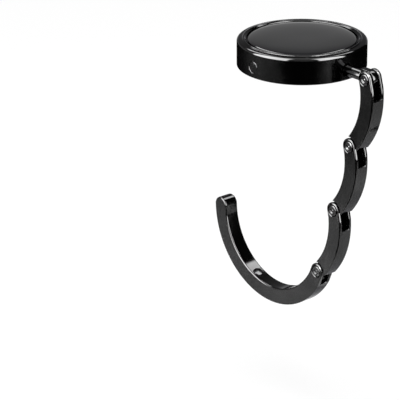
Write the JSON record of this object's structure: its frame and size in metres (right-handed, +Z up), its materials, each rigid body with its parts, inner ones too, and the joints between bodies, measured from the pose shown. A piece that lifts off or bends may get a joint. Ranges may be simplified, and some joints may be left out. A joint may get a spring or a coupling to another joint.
{
  "type": "purse hook",
  "caption": "Folding bag hanger for a table edge: a flat weighted disc, a sliding and swivelling rod, curved hinged links and a hook arm that fold into a ring round the disc.",
  "frame": {"origin": "centre of the underside of the disc's rubber pad, where it rests on the table", "axes": "+Z up along the disc's axis, +X along the rod, from the disc towards the links; the links and the hook arm hang in the XZ plane and the hook opens towards -X; the hinge pins run along Y"},
  "size_m": [0.0608, 0.0338, 0.0779],
  "materials": {
    "black_nickel": "glossy black nickel plate on die-cast zinc",
    "gloss_black_resin": "glossy black domed resin",
    "plated_steel": "dark plated steel",
    "magnet": "dark nickel plated magnet",
    "slider_plastic": "matt black nylon",
    "rubber_pad": "matt black rubber",
    "adhesive_tape": "dark double-sided adhesive tape"
  },
  "bodies": {
    "disc": {"housing": "black_nickel", "dome_insert": "gloss_black_resin", "dome_adhesive": "adhesive_tape", "base_plate": "plated_steel", "pad_adhesive": "adhesive_tape", "anti_slip_pad": "rubber_pad", "rim_magnet_front": "magnet", "rim_magnet_back": "magnet"},
    "slide": {"slider_block": "slider_plastic"},
    "swivel": {"swivel_rod": "black_nickel", "rod_retaining_ring": "plated_steel"},
    "first_link": {"link_1": "black_nickel", "hinge_pin_1": "black_nickel"},
    "middle_link": {"link_2": "black_nickel", "hinge_pin_2": "black_nickel", "link_2_magnet": "magnet"},
    "last_link": {"link_3": "black_nickel", "hinge_pin_3": "black_nickel"},
    "hook": {"hook_arm": "black_nickel", "hinge_pin_4": "black_nickel", "hook_magnet": "magnet"}
  },
  "joints": [
    {"name": "rod_slide", "type": "slide", "parent": "disc", "child": "slide", "axis": [1, 0, 0], "range_m": [-0.0052, 0]},
    {"name": "rod_swivel", "type": "hinge", "parent": "slide", "child": "swivel", "pos_m": [0.0253, 0, 0.0033], "axis": [1, 0, 0], "range_deg": [-90, 270]},
    {"name": "hinge_1", "type": "hinge", "parent": "swivel", "child": "first_link", "pos_m": [0.0253, 0, 0.0033], "axis": [0, -1, 0], "range_deg": [-15, 0]},
    {"name": "hinge_2", "type": "hinge", "parent": "first_link", "child": "middle_link", "pos_m": [0.0201, 0, -0.01612], "axis": [0, -1, 0], "range_deg": [-59, 0]},
    {"name": "hinge_3", "type": "hinge", "parent": "middle_link", "child": "last_link", "pos_m": [0.01456, 0, -0.03544], "axis": [0, -1, 0], "range_deg": [-59, 0]},
    {"name": "hinge_4", "type": "hinge", "parent": "last_link", "child": "hook", "pos_m": [0.00868, 0, -0.05466], "axis": [0, -1, 0], "range_deg": [-25, 0]}
  ]
}
